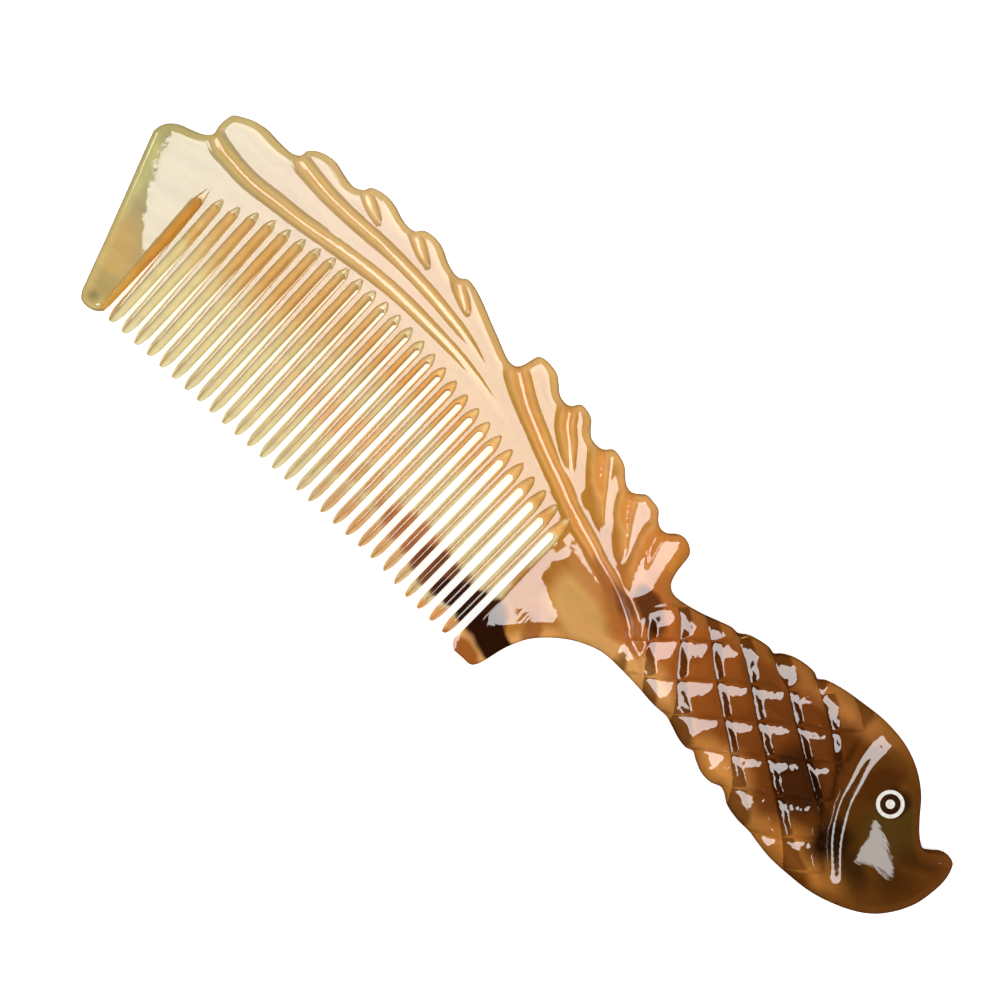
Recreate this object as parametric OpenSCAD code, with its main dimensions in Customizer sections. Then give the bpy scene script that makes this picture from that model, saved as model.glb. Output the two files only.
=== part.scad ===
// Horn comb with a carved back, a scaled handle and a fish head, lying flat on one face.
// Millimetres. +X runs from the first tooth to the head, +Y to the carved back, +Z up.
// The origin is under the middle of the comb, on the plane it rests on.

/* [Plate] */
// thickness of the horn at the spine and along the handle
plate_t = 6.5; // [5.5:0.1:8]
// thickness left at the tips of the teeth
tip_t = 2.9; // [2.4:0.1:4]
// height of the narrow flat left all round the rounded edge
edge_t = 1; // [0.6:0.1:1.6]

/* [Teeth] */
// number of slots between the teeth
slots = 29; // [21:1:31]
// width of a slot where it goes right through
slot_w = 1.2; // [0.8:0.05:1.4]
// width of the bevelled cut round a slot, at the face
bevel_w = 2.3; // [1.8:0.05:2.5]
// depth of the bevelled cut below the face
bevel_d = 2.6; // [1.8:0.1:2.7]
// radius of the wheel that ends a bevelled cut
wheel_r = 4; // [3:0.25:6]
// lean of the last slot in degrees, the first one stands straight
lean = 2.2; // [0:0.1:3]

/* [Carving] */
// depth of the flutes in the back, as a share of the depth drawn
flute_depth = 1; // [0.5:0.05:1.2]
// half width of a groove between two scales
scale_w = 0.65; // [0.4:0.05:0.8]
// depth of a groove between two scales
scale_d = 0.8; // [0.4:0.05:1]

/* [Eye] */
// outer radius of the white ring
ring_r = 2.45; // [2.2:0.01:2.8]
// radial width of the white ring
ring_w = 0.65; // [0.5:0.05:1]
// radius of the white dot in the middle
dot_r = 0.8; // [0.5:0.05:1]
// length of an inlay
inlay_t = 1.3; // [0.8:0.1:1.8]
// play between an inlay and its seat
play = 0.08; // [0.06:0.01:0.15]
// how far an inlay stands out of the face
proud = 0.1; // [0:0.05:0.2]

/* [Hidden] */
mid_z = plate_t / 2;
first_slot_x = -80.2;
last_slot_x = 3.6;
pitch = (last_slot_x - first_slot_x) / (slots - 1);
eye_at = [77.85, 5.25];
// height on the blade below which it thins towards the teeth, and the run of that taper
taper_y = 2;
taper_run = 26;
// height on the blade below which the rounding of the tips starts
tips_y = -18.8;
// x of the outer side of the last guard, the ribs left of it end on the tips of the teeth
guard_x = 3.4;
// a rib shorter than this has its points closer together
full_rib = 11;
// width left at the very tip of a tooth, and the height of the flare that points it
tip_w = 0.8;
flare_h = 2.6;
// how far a cutter stands out of the horn
over = 1;

// back edge of the comb from the first corner to the beak [x, y]
back = [
    [-94.8, 6.6], [-94.5, 8.1], [-93.6, 9.5], [-92.0, 10.6], [-90.1, 11.2], [-88.2, 11.9],
    [-87.1, 12.7], [-86.9, 13.7], [-86.9, 14.9], [-86.8, 16.3], [-86.3, 17.9], [-84.9, 18.8],
    [-82.8, 19.7], [-80.5, 20.1], [-77.9, 19.9], [-75.6, 19.8], [-74.0, 20.0], [-72.9, 20.9],
    [-72.6, 21.9], [-71.4, 23.0], [-69.7, 23.7], [-67.9, 23.9], [-65.6, 23.3], [-63.5, 22.8],
    [-62.0, 22.8], [-60.8, 23.5], [-60.2, 24.5], [-58.8, 25.2], [-56.7, 25.4], [-54.6, 25.0],
    [-52.5, 24.2], [-50.6, 23.9], [-49.3, 24.2], [-48.6, 25.0], [-47.3, 25.6], [-45.0, 25.5],
    [-43.3, 24.9], [-41.7, 24.0], [-40.1, 23.4], [-38.7, 23.2], [-37.8, 23.5], [-37.0, 24.1],
    [-34.7, 23.7], [-31.9, 22.6], [-28.9, 21.2], [-25.8, 19.8], [-23.2, 18.6], [-21.8, 18.2],
    [-20.5, 18.5], [-19.8, 19.5], [-19.3, 21.1], [-18.8, 22.3], [-17.7, 22.7], [-15.8, 22.6],
    [-14.2, 22.1], [-12.8, 20.9], [-11.5, 19.8], [-9.9, 19.4], [-8.7, 19.8], [-7.8, 21.0],
    [-6.2, 21.0], [-4.6, 20.3], [-3.6, 19.0], [-2.4, 17.9], [-0.8, 17.6], [0.5, 17.9],
    [1.7, 19.0], [3.6, 18.8], [5.2, 18.1], [6.4, 16.9], [7.6, 15.9], [9.0, 15.6],
    [10.2, 16.2], [11.3, 17.0], [13.0, 16.9], [14.6, 16.5], [15.7, 15.2], [17.0, 14.3],
    [18.4, 14.4], [20.0, 15.6], [21.2, 15.9], [22.8, 15.4], [23.9, 14.2], [24.1, 12.0],
    [24.3, 10.1], [24.9, 8.3], [26.3, 7.3], [28.4, 7.3], [32.3, 8.1], [35.8, 9.2],
    [37.8, 9.8], [39.4, 9.8], [41.0, 10.8], [42.7, 11.3], [45.0, 11.6], [46.4, 11.3],
    [47.6, 12.3], [49.7, 13.3], [52.4, 13.7], [53.9, 13.6], [55.1, 13.1], [56.4, 14.0],
    [59.4, 14.8], [63.7, 15.3], [68.1, 15.6], [72.5, 15.2], [76.0, 14.2], [79.1, 12.5],
    [81.9, 10.1], [84.5, 6.8], [86.6, 4.5], [88.5, 3.4], [90.1, 4.2], [91.5, 5.3],
    [92.7, 5.5], [93.9, 5.0], [94.5, 3.6]
];

// lower edge from the first guard past the tips of the teeth to the throat [x, y]
belly = [
    [-87.0, -18.5], [-85.6, -22.8], [-84.4, -23.8], [-82.6, -23.8], [-81.6, -23.2],
    [-14.5, -23.2], [-6.5, -24.5], [3.2, -24.5], [4.1, -25.6],
    [8.3, -25.6], [9.2, -24.6], [9.9, -22.5], [10.6, -20.0], [11.5, -17.9],
    [12.8, -15.6], [14.6, -13.6], [16.5, -12.0], [18.6, -10.6], [20.9, -9.5],
    [23.5, -8.7], [26.1, -8.5], [32.3, -8.9], [36.6, -9.4], [39.8, -9.4],
    [41.9, -10.1], [44.0, -10.9], [45.9, -11.2], [47.3, -10.8], [48.9, -11.7],
    [51.1, -12.7], [53.2, -12.8], [55.0, -12.2], [56.4, -12.6], [58.1, -13.8],
    [60.8, -14.5], [64.2, -14.7], [66.0, -15.1], [69.8, -15.7], [74.2, -15.7],
    [78.6, -15.4], [83.0, -14.3], [86.8, -12.7], [89.8, -10.6], [92.2, -7.7],
    [93.8, -4.6], [94.5, -1.8], [94.8, 0.6]
];

// where the rib from a point of the back edge meets the lower edge [x on the back, x below]
rib_foot = [
    [-94.8, -87.0], [-92, -83], [-86.8, -79], [-72, -66], [-37, -30], [-20, -12],
    [-4, 2], [2, 5.5], [7, 8.8], [12, 10.4], [17, 13.5], [21, 18], [24.3, 23],
    [28.4, 27.5], [45, 45], [68, 68], [79, 82], [86, 91], [90, 93.6], [93, 94.5], [94.5, 94.8]
];

// distances from an edge at which a rib has a point
rib_steps = [0, 0.6, 2.2, 4.6];

// how far in from the edge the rounding of a face reaches [x, distance]
rounding = [[-95, 2.2], [20, 2.2], [32, 4.6], [95, 4.6]];

// top of the bevelled cut of a slot, at the face [x, y]
arch = [
    [-80.2, 5.8], [-77.0, 5.9], [-73.9, 6.8], [-71.0, 8.2], [-68.0, 9.2], [-62.0, 10.2],
    [-56.0, 11.3], [-49.5, 11.7], [-43.6, 11.6], [-34.8, 10.7], [-25.9, 9.2], [-16.9, 7.8],
    [-8.3, 6.4], [-2.7, 5.6], [3.7, 4.5]
];

// how far below that the slot starts to go right through [x, length]
ramp = [[-80.2, 3.1], [-77.0, 2], [-56, 1.8], [-36, 1.9], [-16.9, 2.4], [-2.7, 3.4], [3.7, 4.0]];

// flutes of the back, each [x, y, half width, depth] from the edge to where it runs out
flutes = [
    [
        [-87.8, 12.6, 0.9, 0.3], [-85.4, 13.0, 1.7, 0.9], [-82.7, 12.1, 1.8, 0.9],
        [-78.4, 11.4, 1.7, 0.9], [-72.3, 11.4, 1.6, 0.9], [-65.5, 12.0, 1.5, 0.9],
        [-56.9, 12.9, 1.4, 0.85], [-48.3, 13.6, 1.5, 0.8], [-41.4, 13.7, 1.5, 0.75],
        [-34.5, 13.5, 1.4, 0.7], [-29.3, 12.8, 1.3, 0.6], [-24.2, 11.9, 1.1, 0.45],
        [-19.0, 10.7, 0.8, 0.3], [-14.5, 9.7, 0.3, 0.1]
    ],
    [
        [-74.4, 20.2, 1.2, 0.4], [-72.0, 19.7, 1.6, 0.9], [-68.6, 19.0, 1.7, 0.9],
        [-63.7, 18.5, 1.6, 0.9], [-56.9, 18.3, 1.4, 0.85], [-48.3, 18.3, 1.5, 0.8],
        [-41.4, 17.8, 1.4, 0.7], [-34.5, 17.0, 1.3, 0.6], [-29.3, 15.9, 1.1, 0.45],
        [-25.9, 14.9, 0.7, 0.25], [-23.7, 14.3, 0.3, 0.1]
    ],
    [
        [-22.0, 19.4, 1.6, 0.5], [-19.4, 18.0, 2.1, 1.2], [-17.3, 16.4, 2.1, 1.2],
        [-13.8, 14.4, 1.9, 1.1], [-8.7, 12.1, 1.6, 1], [-3.5, 9.7, 1.4, 0.9],
        [1.6, 7.7, 1.4, 0.9], [6.8, 5.8, 1.4, 0.9], [12.0, 3.9, 1.2, 0.95],
        [17.1, 1.7, 1.1, 1], [22.3, -0.8, 1.1, 1], [27.4, -3.4, 1, 0.9],
        [31.2, -5.4, 0.4, 0.2]
    ],
    [[-62.0, 23.1, 1.2, 0.3], [-59.4, 22.5, 1.4, 0.8], [-56.9, 21.7, 1.1, 0.6], [-54.3, 20.9, 0.3, 0.1]],
    [[-50.7, 24.0, 1.4, 0.3], [-48.3, 23.1, 1.6, 0.9], [-45.7, 22.1, 1.2, 0.7], [-42.9, 21.1, 0.4, 0.1]],
    [[-39.1, 23.5, 1.4, 0.3], [-37.1, 22.3, 1.6, 0.9], [-34.5, 20.6, 1.2, 0.7], [-32.3, 19.3, 0.4, 0.1]],
    [
        [-10.1, 20.0, 1.7, 0.4], [-8.3, 18.3, 1.7, 1.2], [-6.6, 16.2, 1.6, 1],
        [-4.4, 13.9, 1.3, 0.8], [-2.2, 11.8, 0.9, 0.4], [-0.4, 10.1, 0.3, 0.1]
    ],
    [
        [-0.9, 18.3, 1.7, 0.4], [0.4, 16.6, 1.7, 1.2], [2.2, 14.4, 1.6, 1],
        [4.4, 11.9, 1.3, 0.8], [6.8, 9.4, 0.9, 0.4], [8.7, 7.6, 0.3, 0.1]
    ],
    [
        [8.9, 16.4, 1.7, 0.4], [9.5, 14.7, 1.6, 1.1], [10.8, 12.3, 1.5, 0.9],
        [12.1, 9.9, 1.2, 0.7], [13.3, 7.6, 0.8, 0.3], [14.2, 6.1, 0.3, 0.1]
    ],
    [
        [17.5, 15.0, 1.6, 0.4], [17.7, 13.0, 1.6, 0.9], [18.3, 9.5, 1.5, 0.7],
        [19.0, 6.1, 1.5, 0.5], [20.2, 3.0, 0.7, 0.1]
    ]
];

// gill cover between the scales and the head [x, y, half width, depth]
gill = [
    [69.8, 14.0, 0.9, 0.2], [69.4, 11.3, 1.2, 0.6], [69.8, 7.5, 1.1, 0.7],
    [70.4, 3.5, 1, 0.8], [71.8, -0.4, 1.2, 1], [73.4, -3.9, 1.4, 1.1],
    [75.3, -7.0, 1.4, 1.1], [77.5, -9.4, 1.1, 0.8], [80.1, -11.6, 0.3, 0.1]
];

// grooves between the scales [x, y], the falling ones first, then the rising ones
scale_lines = [
    [[28.0, 6.1], [30.2, 4.5], [36.6, -3.7], [39.5, -7.3], [40.3, -9.4]],
    [[33.6, 7.8], [36.4, 5.4], [41.7, 0.9], [51.9, -6.8], [56.0, -10.6], [56.6, -12.4]],
    [[38.9, 9.8], [41.2, 8.2], [46.5, 4.4], [51.5, 0.4], [62.5, -7.2], [67.3, -10.8]],
    [[45.7, 11.3], [48.9, 9.2], [51.9, 8.0], [57.0, 4.4], [70.8, -4.4]],
    [[54.6, 13.1], [57.0, 11.1], [62.2, 7.7], [66.0, 4.4]],
    [[28.0, -2.2], [32.3, 2.0], [36.4, 5.4], [39.2, 8.0]],
    [[31.9, -6.8], [34.7, -5.1], [41.7, 0.9], [51.9, 8.0], [56.3, 11.1]],
    [[39.2, -9.3], [41.7, -7.2], [51.5, 0.4], [62.2, 7.7], [65.3, 10.1]],
    [[46.9, -10.9], [49.8, -8.4], [57.0, -3.0], [65.3, 2.5]],
    [[54.8, -12.3], [56.3, -10.8], [62.5, -7.2], [68.0, -3.9]],
    [[64.2, -14.5], [67.0, -12.9], [72.5, -8.2]]
];

// closed edge of the comb seen from above
outline = concat(back, [for (i = [len(belly) - 1 : -1 : 0]) belly[i]]);

// shortest distance from a point to the stretch between two others
function stretch_gap(p, a, b) =
    let (along = b - a)
    let (part = max(0, min(1, (p - a) * along / (along * along))))
    norm(p - a - part * along);

// shortest distance from a point to the edge of the comb
function edge_gap(p) =
    min([for (i = [0 : len(outline) - 1]) stretch_gap(p, outline[i], outline[(i + 1) % len(outline)])]);

// half the thickness of the plate before its edge is rounded, thinner towards the teeth
function full_half(y) =
    mid_z - (plate_t - tip_t) / 2 * max(0, min(1, (taper_y - y) / taper_run));

// share of the taper that a place has, the handle keeps its full thickness
function taper_share(x) = lookup(x, [[8, 1], [20, 0]]);

// half the thickness at a point of the plate
function skin(p) =
    let (full = mid_z + (full_half(p[1]) - mid_z) * taper_share(p[0]))
    let (reach = lookup(p[0], rounding))
    let (back_off = 1 - min(edge_gap(p), reach) / reach)
    edge_t / 2 + (full - edge_t / 2) * sqrt(1 - back_off * back_off);

// points of one rib from the back edge to the lower edge
function rib(top, foot) =
    let (span = norm(foot - top))
    let (fit = min(1, span / full_rib))
    let (unit = (foot - top) / max(span, 0.001))
    let (bend = top[0] < 20 ? (top[1] - taper_y) / (top[1] - foot[1]) : 0.5)
    let (over_teeth = foot[0] < guard_x && foot[1] < tips_y - 3)
    concat(
        [for (s = rib_steps) top + unit * s * fit],
        [top + (foot - top) * bend],
        over_teeth ? [[foot[0], tips_y]] : [foot - unit * rib_steps[3] * fit],
        [for (i = [2 : -1 : 0]) foot + (over_teeth ? [0, 1] : -unit) * rib_steps[i] * fit]
    );

// one ring of the plate, over the upper face and back under the lower one
function ring(flat) =
    let (half = [for (p = flat) skin(p)])
    concat(
        [for (i = [0 : len(flat) - 1]) [flat[i][0], flat[i][1], mid_z + half[i]]],
        [for (i = [len(flat) - 1 : -1 : 0]) [flat[i][0], flat[i][1], mid_z - half[i]]]
    );

// closed skin over rings that all have the same number of points, a folded end is closed in strips
module skin_over(rings, folded = false) {
    m = len(rings[0]);
    last = (len(rings) - 1) * m;
    sides = [
        for (k = [0 : m : last - m], j = [0 : m - 1])
            let (a = k + j)
            let (b = k + (j + 1) % m)
            each [[a, b + m, b], [a, a + m, b + m]]
    ];
    end = folded
        ? [for (j = [0 : m / 2 - 2]) each [[j, j + 1, m - 1 - j], [j + 1, m - 2 - j, m - 1 - j]]]
        : [for (j = [1 : m - 2]) [0, j, j + 1]];
    far_end = [for (f = end) [last + f[0], last + f[2], last + f[1]]];
    polyhedron(points = [for (r = rings) each r], faces = concat(sides, end, far_end), convexity = 12);
}

module plate() {
    skin_over(
        [
            for (top = back)
                let (foot_x = lookup(top[0], rib_foot))
                ring(rib(top, [foot_x, lookup(foot_x, belly)]))
        ],
        folded = true
    );
}

// what is cut into the upper face is cut into the lower one too
module both_faces() {
    children();
    translate([0, 0, plate_t])
        mirror([0, 0, 1])
            children();
}

// groove along rows [x, y, half width, depth], section is [across, up] in shares of those two,
// or millimetres above the plate where up is more than one
module groove(rows, section) {
    last = len(rows) - 1;
    rings = [
        for (i = [0 : last])
            let (r = rows[i])
            let (a = rows[max(i - 1, 0)])
            let (b = rows[min(i + 1, last)])
            let (run = [b[0] - a[0], b[1] - a[1]])
            let (across = [-run[1], run[0]] / norm(run))
            let (z = mid_z + skin([r[0], r[1]]))
            [
                for (s = section)
                    let (side = across * s[0] * r[2])
                    [r[0] + side[0], r[1] + side[1], s[1] > 1 ? plate_t + s[1] : z + s[1] * r[3]]
            ]
    ];
    skin_over(rings);
}

// ring across a bevelled cut, its point a given depth below the face
function bevel_ring(y, depth, flank) =
    let (high = depth + 1.5 * over)
    [
        [-high * flank, y, plate_t + 1.5 * over],
        [0, y, plate_t - depth],
        [high * flank, y, plate_t + 1.5 * over]
    ];

// bevelled cut, a round-nosed start left by the wheel and then a long run out past the tip
module bevel(tip) {
    rise = wheel_r - bevel_d;
    reach = sqrt(wheel_r * wheel_r - rise * rise);
    flank = bevel_w / 2 / bevel_d;
    // the face falls away by the taper, and the cut runs out 1.9 mm below it at the tip
    tip_depth = (plate_t - tip_t) / 2 + 1.9;
    skin_over([
        bevel_ring(0.25, -1.2 * over, flank),
        for (part = [0.08, 0.35, 1])
            let (back_off = reach * (1 - part))
            bevel_ring(-reach * part, sqrt(wheel_r * wheel_r - back_off * back_off) - rise, flank),
        bevel_ring(tip - 3, tip_depth, flank)
    ]);
}

// one slot with its pointed bevelled cuts, drawn down from the top of the bevel
module slot(x) {
    top_y = lookup(x, arch);
    start = -lookup(x, ramp);
    tip = lookup(x - 0.6, belly) - top_y;
    turn = lean * (x - first_slot_x) / (last_slot_x - first_slot_x);
    half_gap = (pitch - tip_w) / 2;
    translate([x, top_y, 0])
        rotate([0, 0, -turn]) {
            translate([0, 0, -over])
                hull() {
                    translate([0, start - slot_w / 2, 0])
                        cylinder(h = plate_t + 2 * over, d = slot_w, $fn = 8);
                    translate([-slot_w / 2, tip - 2, 0])
                        cube([slot_w, 1, plate_t + 2 * over]);
                }
            translate([0, 0, -over])
                linear_extrude(height = plate_t + 2 * over)
                    polygon([
                        [-slot_w * 0.4, tip + flare_h], [slot_w * 0.4, tip + flare_h],
                        [half_gap, tip], [half_gap, tip - flare_h],
                        [-half_gap, tip - flare_h], [-half_gap, tip]
                    ]);
            both_faces()
                bevel(tip);
        }
}

// annular and round seats of the eye, drawn for the upper face
module eye_seat() {
    top = mid_z + skin(eye_at);
    translate([eye_at[0], eye_at[1], top - inlay_t - play]) {
        difference() {
            cylinder(h = inlay_t + 2 * over, r = ring_r + play, $fn = 24);
            translate([0, 0, -over])
                cylinder(h = inlay_t + 4 * over, r = ring_r - ring_w - play, $fn = 20);
        }
        cylinder(h = inlay_t + 2 * over, r = dot_r + play, $fn = 16);
    }
}

module comb() {
    round_section = [[-1.5, 2], [-1.2, 0.35], [-0.45, -1], [0.45, -1], [1.2, 0.35], [1.5, 2]];
    sharp_section = [[-1.7, 2], [-1.3, 0.3], [0, -1], [1.3, 0.3], [1.7, 2]];
    color("#a8702f")
        difference() {
            plate();
            for (i = [0 : slots - 1])
                slot(first_slot_x + i * pitch);
            for (f = flutes)
                groove([for (r = f) [r[0], r[1], r[2], r[3] * flute_depth]], round_section);
            groove(gill, round_section);
            for (line = scale_lines)
                groove([for (p = line) [p[0], p[1], scale_w, scale_d]], sharp_section);
            eye_seat();
        }
}

// white inlays, each a little proud of the face it sits in
module eye_ring() {
    color("#f4f1ea")
        translate([eye_at[0], eye_at[1], mid_z + skin(eye_at) - inlay_t])
            difference() {
                cylinder(h = inlay_t + proud, r = ring_r, $fn = 64);
                translate([0, 0, -over])
                    cylinder(h = inlay_t + 3 * over, r = ring_r - ring_w, $fn = 64);
            }
}

module eye_dot() {
    color("#f4f1ea")
        translate([eye_at[0], eye_at[1], mid_z + skin(eye_at) - inlay_t])
            cylinder(h = inlay_t + proud, r = dot_r, $fn = 48);
}

comb();
eye_ring();
eye_dot();
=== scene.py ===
import math

import bmesh
import bpy
import numpy as np
from mathutils import Matrix


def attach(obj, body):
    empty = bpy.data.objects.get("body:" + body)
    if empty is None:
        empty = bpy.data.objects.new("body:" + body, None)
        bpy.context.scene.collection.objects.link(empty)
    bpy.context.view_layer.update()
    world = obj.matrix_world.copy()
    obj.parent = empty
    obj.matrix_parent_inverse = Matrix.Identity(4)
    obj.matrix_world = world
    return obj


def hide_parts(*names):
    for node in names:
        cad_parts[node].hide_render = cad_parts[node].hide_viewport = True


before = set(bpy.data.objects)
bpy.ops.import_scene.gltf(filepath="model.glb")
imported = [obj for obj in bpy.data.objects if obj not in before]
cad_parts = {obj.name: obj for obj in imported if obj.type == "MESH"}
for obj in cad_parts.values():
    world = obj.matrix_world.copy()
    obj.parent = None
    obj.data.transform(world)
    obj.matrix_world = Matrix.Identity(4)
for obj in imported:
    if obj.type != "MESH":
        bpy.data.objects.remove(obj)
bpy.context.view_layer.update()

# Millimetres from here on, in the comb's own frame: +X from the first tooth to the head,
# +Y to the carved back, +Z out of the carved face. MM turns them into metres.
MM = 0.001

# the plate is thinner at the tips of the teeth, below TAPER_Y
PLATE_T = 6.5
MID_Z = PLATE_T / 2
TIP_T = 2.9
TAPER_Y = 2.0
TAPER_RUN = 26.0
# half thickness of the very edge, and how far in from it the blade and the handle are rounded
EDGE_HALF = 0.45
ROUND_BLADE = 1.75
ROUND_HANDLE = 4.6
# least half thickness under the carving
LEAST_HALF = 0.38

# sizes of the teeth
SLOTS = 29
FIRST_SLOT_X = -80.2
LAST_SLOT_X = 3.9
PITCH = (LAST_SLOT_X - FIRST_SLOT_X) / (SLOTS - 1)
LEAN = math.radians(2.2)
# half width of a bevelled cut at the face, at the tip of a tooth
BEVEL_HALF_TIP = 1.46
# how far below the face a bevel meets the wall of the slot
BEVEL_DROP = 1.1
# share of its width that a cut keeps at its pointed top, and the slope of its sides there
POINT_SHARE = 0.2
POINT_SLOPE = 1.1
# how round the inner end of a slot is, and how far above it a column keeps the slot's direction
SLOT_END = 0.5
STRAIGHT = 4.0

# rows and columns of the sheet that the comb is shaped from
BACK_ROWS = 62
TOOTH_ROWS = 32
GUARD_COLUMNS = 44
FAN_COLUMNS = 74
SCALE_COLUMNS = 184
HEAD_COLUMNS = 46
# how much closer together the rows are at both ends of a column
CROWD = 0.3
# how many neighbouring columns have their rows evened out together
EVENED_COLUMNS = 29
# what a column runs along: the slot, the middle of a bevel, its edge, the ridge of a tooth, the guard
SLOT, FLANK, EDGE, RIDGE, GUARD = range(5)

# back edge of the comb from the first corner to the beak [x, y]
BACK = [
    (-94.8, 6.6), (-94.5, 8.1), (-93.6, 9.5), (-92, 10.6), (-90.1, 11.2), (-88.2, 11.9), (-87.1, 12.7),
    (-86.9, 13.7), (-86.9, 14.9), (-86.8, 16.3), (-86.3, 17.9), (-84.9, 18.8), (-82.8, 19.7),
    (-80.5, 20.1), (-77.9, 19.9), (-75.6, 19.8), (-74, 20), (-72.9, 20.9), (-72.6, 21.9), (-71.4, 23),
    (-69.7, 23.7), (-67.9, 23.9), (-65.6, 23.3), (-63.5, 22.8), (-62, 22.8), (-60.8, 23.5),
    (-60.2, 24.5), (-58.8, 25.2), (-56.7, 25.4), (-54.6, 25), (-52.5, 24.2), (-50.6, 23.9),
    (-49.3, 24.2), (-48.6, 25), (-47.3, 25.6), (-45, 25.5), (-43.3, 24.9), (-41.7, 24), (-40.1, 23.4),
    (-38.7, 23.2), (-37.8, 23.5), (-37, 24.1), (-34.7, 23.7), (-31.9, 22.6), (-28.9, 21.2),
    (-25.8, 19.8), (-23.2, 18.6), (-21.8, 18.2), (-20.5, 18.5), (-19.8, 19.5), (-19.3, 21.1),
    (-18.8, 22.3), (-17.7, 22.7), (-15.8, 22.6), (-14.2, 22.1), (-12.8, 20.9), (-11.5, 19.8),
    (-9.9, 19.4), (-8.7, 19.8), (-7.8, 21), (-6.2, 21), (-4.6, 20.3), (-3.6, 19), (-2.4, 17.9),
    (-0.8, 17.6), (0.5, 17.9), (1.7, 19), (3.6, 18.8), (5.2, 18.1), (6.4, 16.9), (7.6, 15.9), (9, 15.6),
    (10.2, 16.2), (11.3, 17), (13, 16.9), (14.6, 16.5), (15.7, 15.2), (17, 14.3), (18.4, 14.4),
    (20, 15.6), (21.2, 15.9), (22.8, 15.4), (23.9, 14.2), (24.1, 12), (24.3, 10.1), (24.9, 8.3),
    (26.3, 7.3), (28.4, 7.3), (32.3, 8.1), (35.8, 9.2), (37.8, 9.8), (39.4, 9.8), (41, 10.8),
    (42.7, 11.3), (45, 11.6), (46.4, 11.3), (47.6, 12.3), (49.7, 13.3), (52.4, 13.7), (53.9, 13.6),
    (55.1, 13.1), (56.4, 14), (59.4, 14.8), (63.7, 15.3), (68.1, 15.6), (72.5, 15.2), (76, 14.2),
    (79.1, 12.5), (81.9, 10.1), (84.5, 6.8), (86.6, 4.5), (88.5, 3.4), (90.1, 4.2), (91.5, 5.3),
    (92.7, 5.5), (93.9, 5), (94.5, 3.6), (94.8, 2.2),
]

# corner at the top of the first guard, and the point of its slanted side beside the roots of the teeth
GUARD_CORNER = (-94.8, 6.6)
GUARD_SIDE = (-92.4, -1.0)
# edge of the first guard, from the foot of its slanted side to its inner corner [x, y]
FIRST_GUARD = [
    (-86.2, -21), (-85.7, -22.5), (-84.7, -23.7), (-82.9, -23.9), (-81.5, -23.3), (-80.8, -22.6),
]

# lower edge from the inner corner of the last guard to the throat [x, y]
BELLY = [
    (3.1, -23.2), (3.3, -24.6), (4.3, -25.6), (6.3, -25.6), (8.3, -25.6), (9.2, -24.6), (9.9, -22.5),
    (10.6, -20), (11.5, -17.9), (12.8, -15.6), (14.6, -13.6), (16.5, -12), (18.6, -10.6), (20.9, -9.5),
    (23.5, -8.7), (26.1, -8.5), (32.3, -8.9), (36.6, -9.4), (39.8, -9.4), (41.9, -10.1), (44, -10.9),
    (45.9, -11.2), (47.3, -10.8), (48.9, -11.7), (51.1, -12.7), (53.2, -12.8), (55, -12.2),
    (56.4, -12.6), (58.1, -13.8), (60.8, -14.5), (64.2, -14.7), (66, -15.1), (69.8, -15.7),
    (74.2, -15.7), (78.6, -15.4), (83, -14.3), (86.8, -12.7), (89.8, -10.6), (92.2, -7.7), (93.8, -4.6),
    (94.5, -1.8), (94.8, 0.6), (94.8, 2.2),
]

# where a line of the sheet starts on the back edge and where it passes the roots of the teeth [x, x]
BLADE_LINES = [
    (-94.8, -92.4), (-87.2, -86.5), (-83.2, -80.8), (-60.8, -60), (-50, -50), (-30, -30), (-12, -11),
    (1, 4.2),
]
# and, right of the teeth, the point of the back edge and the point of the lower edge that one joins
HANDLE_LINES = [
    ((1, 18.3), (3.1, -23.2)), ((2.6, 19), (5.3, -25.6)), ((5.4, 18), (9.4, -24.2)),
    ((8.6, 15.6), (10.8, -19.5)), ((12.2, 17), (13.4, -14.9)), ((16.2, 14.8), (17.2, -11.4)),
    ((20.6, 15.8), (20.9, -9.5)), ((24.1, 12.2), (23, -8.8)), ((25.2, 7.9), (24.8, -8.6)),
    ((28.4, 7.3), (28, -8.6)), ((45, 11.6), (45, -11)), ((68.1, 15.6), (68, -15.4)),
    ((79.1, 12.5), (82, -14.6)), ((86.6, 4.5), (90.6, -9.9)), ((90.1, 4.2), (93.2, -6)),
    ((92.7, 5.5), (94.3, -2.6)), ((94.7, 3), (94.8, 1.4)),
]

# top of the bevelled cut of a slot [x, y], and how far below it the slot goes right through
ARCH = [
    (-80.2, 5.8), (-77, 5.9), (-73.9, 6.8), (-71, 8.2), (-68, 9.2), (-62, 10.2), (-56, 11.3),
    (-49.5, 11.7), (-43.6, 11.6), (-34.8, 10.7), (-25.9, 9.2), (-16.9, 7.8), (-8.3, 6.4), (-2.7, 5.6),
    (3.7, 4.5),
]
RAMP = [(-80.2, 3.1), (-77, 2), (-56, 1.8), (-36, 1.9), (-16.9, 2.4), (-2.7, 3.4), (3.7, 4)]
# height of the tips of the teeth [x, y]
TIPS = [(-80.2, -23.1), (-14.5, -23.3), (-6.5, -24.4), (3.6, -24.6)]

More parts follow.
